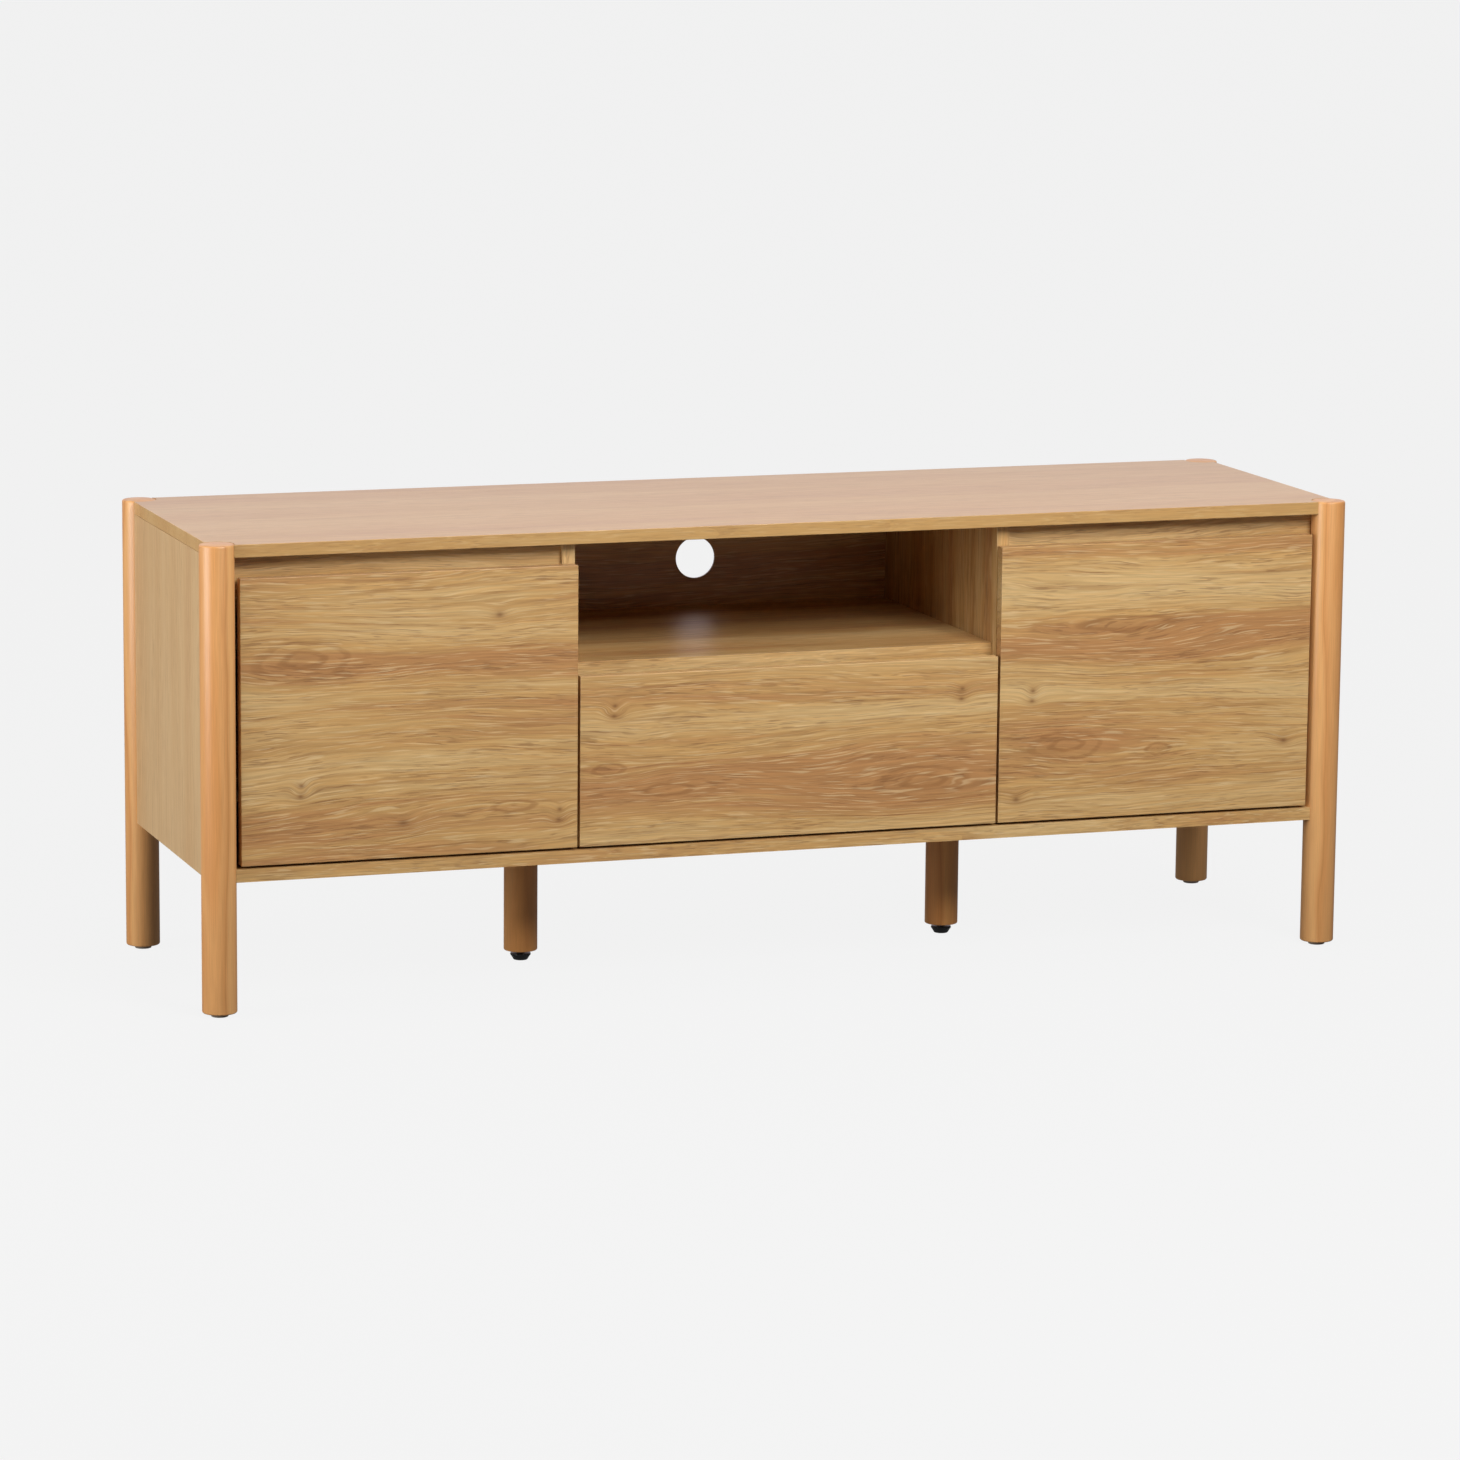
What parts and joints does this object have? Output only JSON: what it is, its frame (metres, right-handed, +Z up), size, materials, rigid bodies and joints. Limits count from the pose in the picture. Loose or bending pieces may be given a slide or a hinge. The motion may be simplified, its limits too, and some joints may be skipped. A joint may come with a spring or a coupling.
{
  "type": "tv stand with doors",
  "caption": "Low oak-look media cabinet on round legs that run full height at the corners, with hinged doors at the sides, an open niche and a sliding drawer between them.",
  "frame": {"origin": "on the floor at the middle of the plan", "axes": "+X to the viewer's right along the length, -Y to the front with the doors, +Z up"},
  "size_m": [1.4, 0.42, 0.54],
  "materials": {
    "oak_front": "satin oak-grain melamine, grain across",
    "oak_top": "satin oak-grain melamine, grain along the top",
    "oak_side": "satin oak-grain melamine, grain upright",
    "oak_inside": "satin oak-grain melamine",
    "post_wood": "satin lacquered turned hardwood",
    "batten_wood": "planed softwood",
    "hardboard": "thin hardboard with a printed face",
    "drawer_board": "foil-wrapped board",
    "dowel_wood": "fluted beech",
    "zinc_steel": "zinc plated",
    "nickel_steel": "nickel plated, satin",
    "cam_zinc": "die cast",
    "glide_plastic": "moulded",
    "foot_plastic": "moulded",
    "cage_plastic": "moulded",
    "bumper": "soft clear pad"
  },
  "bodies": {
    "carcass": {"back_nails": "zinc_steel", "back_panel_left": "hardboard", "back_panel_middle": "hardboard", "back_panel_right": "hardboard", "bottom_panel": "oak_inside", "cam_bolts": "zinc_steel", "cam_locks": "cam_zinc", "divider_left": "oak_inside", "divider_right": "oak_inside", "door_bumpers": "bumper", "door_rail_left": "oak_front", "door_rail_right": "oak_front", "hinge_arms": "nickel_steel", "hinge_batten_left": "batten_wood", "hinge_batten_right": "batten_wood", "hinge_plate_screws": "nickel_steel", "hinge_plates": "nickel_steel", "inner_shelf_left": "oak_inside", "inner_shelf_right": "oak_inside", "leg_hanger_bolts": "zinc_steel", "middle_leg_left": "post_wood", "middle_leg_right": "post_wood", "niche_shelf": "oak_inside", "post_front_left": "post_wood", "post_front_right": "post_wood", "post_glides": "glide_plastic", "post_rear_left": "post_wood", "post_rear_right": "post_wood", "runner_fixed_left": "zinc_steel", "runner_fixed_right": "zinc_steel", "runner_screws": "zinc_steel", "shelf_pins": "zinc_steel", "side_panel_left": "oak_side", "side_panel_right": "oak_side", "top_panel": "oak_top", "wood_dowels": "dowel_wood"},
    "left_door": {"door_left": "oak_front", "hinge_cups_left": "nickel_steel", "hinge_cup_screws_left": "nickel_steel"},
    "right_door": {"door_right": "oak_front", "hinge_cups_right": "nickel_steel", "hinge_cup_screws_right": "nickel_steel"},
    "drawer": {"drawer_front": "oak_front", "drawer_inner_front": "drawer_board", "drawer_back": "drawer_board", "drawer_side_left": "drawer_board", "drawer_side_right": "drawer_board", "drawer_bottom": "hardboard", "runner_drawer_left": "zinc_steel", "runner_drawer_right": "zinc_steel", "drawer_runner_screws": "zinc_steel", "drawer_front_screws": "zinc_steel"},
    "left_runner_middle": {"runner_middle_left": "zinc_steel", "runner_cages_left": "cage_plastic"},
    "right_runner_middle": {"runner_middle_right": "zinc_steel", "runner_cages_right": "cage_plastic"},
    "left_levelling_foot": {"levelling_foot_left": "foot_plastic"},
    "right_levelling_foot": {"levelling_foot_right": "foot_plastic"}
  },
  "joints": [
    {"name": "left_door_hinge", "type": "hinge", "parent": "carcass", "child": "left_door", "pos_m": [-0.647, -0.193, 0.3375], "axis": [0, 0, -1], "range_deg": [0, 90]},
    {"name": "right_door_hinge", "type": "hinge", "parent": "carcass", "child": "right_door", "pos_m": [0.647, -0.193, 0.3375], "axis": [0, 0, 1], "range_deg": [0, 90]},
    {"name": "drawer_slide", "type": "slide", "parent": "carcass", "child": "drawer", "axis": [0, -1, 0], "range_m": [0, 0.3]},
    {"name": "left_runner_slide", "type": "slide", "parent": "carcass", "child": "left_runner_middle", "axis": [0, -1, 0], "range_m": [0, 0.15]},
    {"name": "right_runner_slide", "type": "slide", "parent": "carcass", "child": "right_runner_middle", "axis": [0, -1, 0], "range_m": [0, 0.15]},
    {"name": "left_levelling_screw", "type": "slide", "parent": "carcass", "child": "left_levelling_foot", "axis": [0, 0, 1], "range_m": [-0.006, 0.003]},
    {"name": "right_levelling_screw", "type": "slide", "parent": "carcass", "child": "right_levelling_foot", "axis": [0, 0, 1], "range_m": [-0.006, 0.003]}
  ],
  "couplings": [
    {"joint": "left_runner_slide", "follows": "drawer_slide", "ratio": 0.5},
    {"joint": "right_runner_slide", "follows": "drawer_slide", "ratio": 0.5}
  ]
}
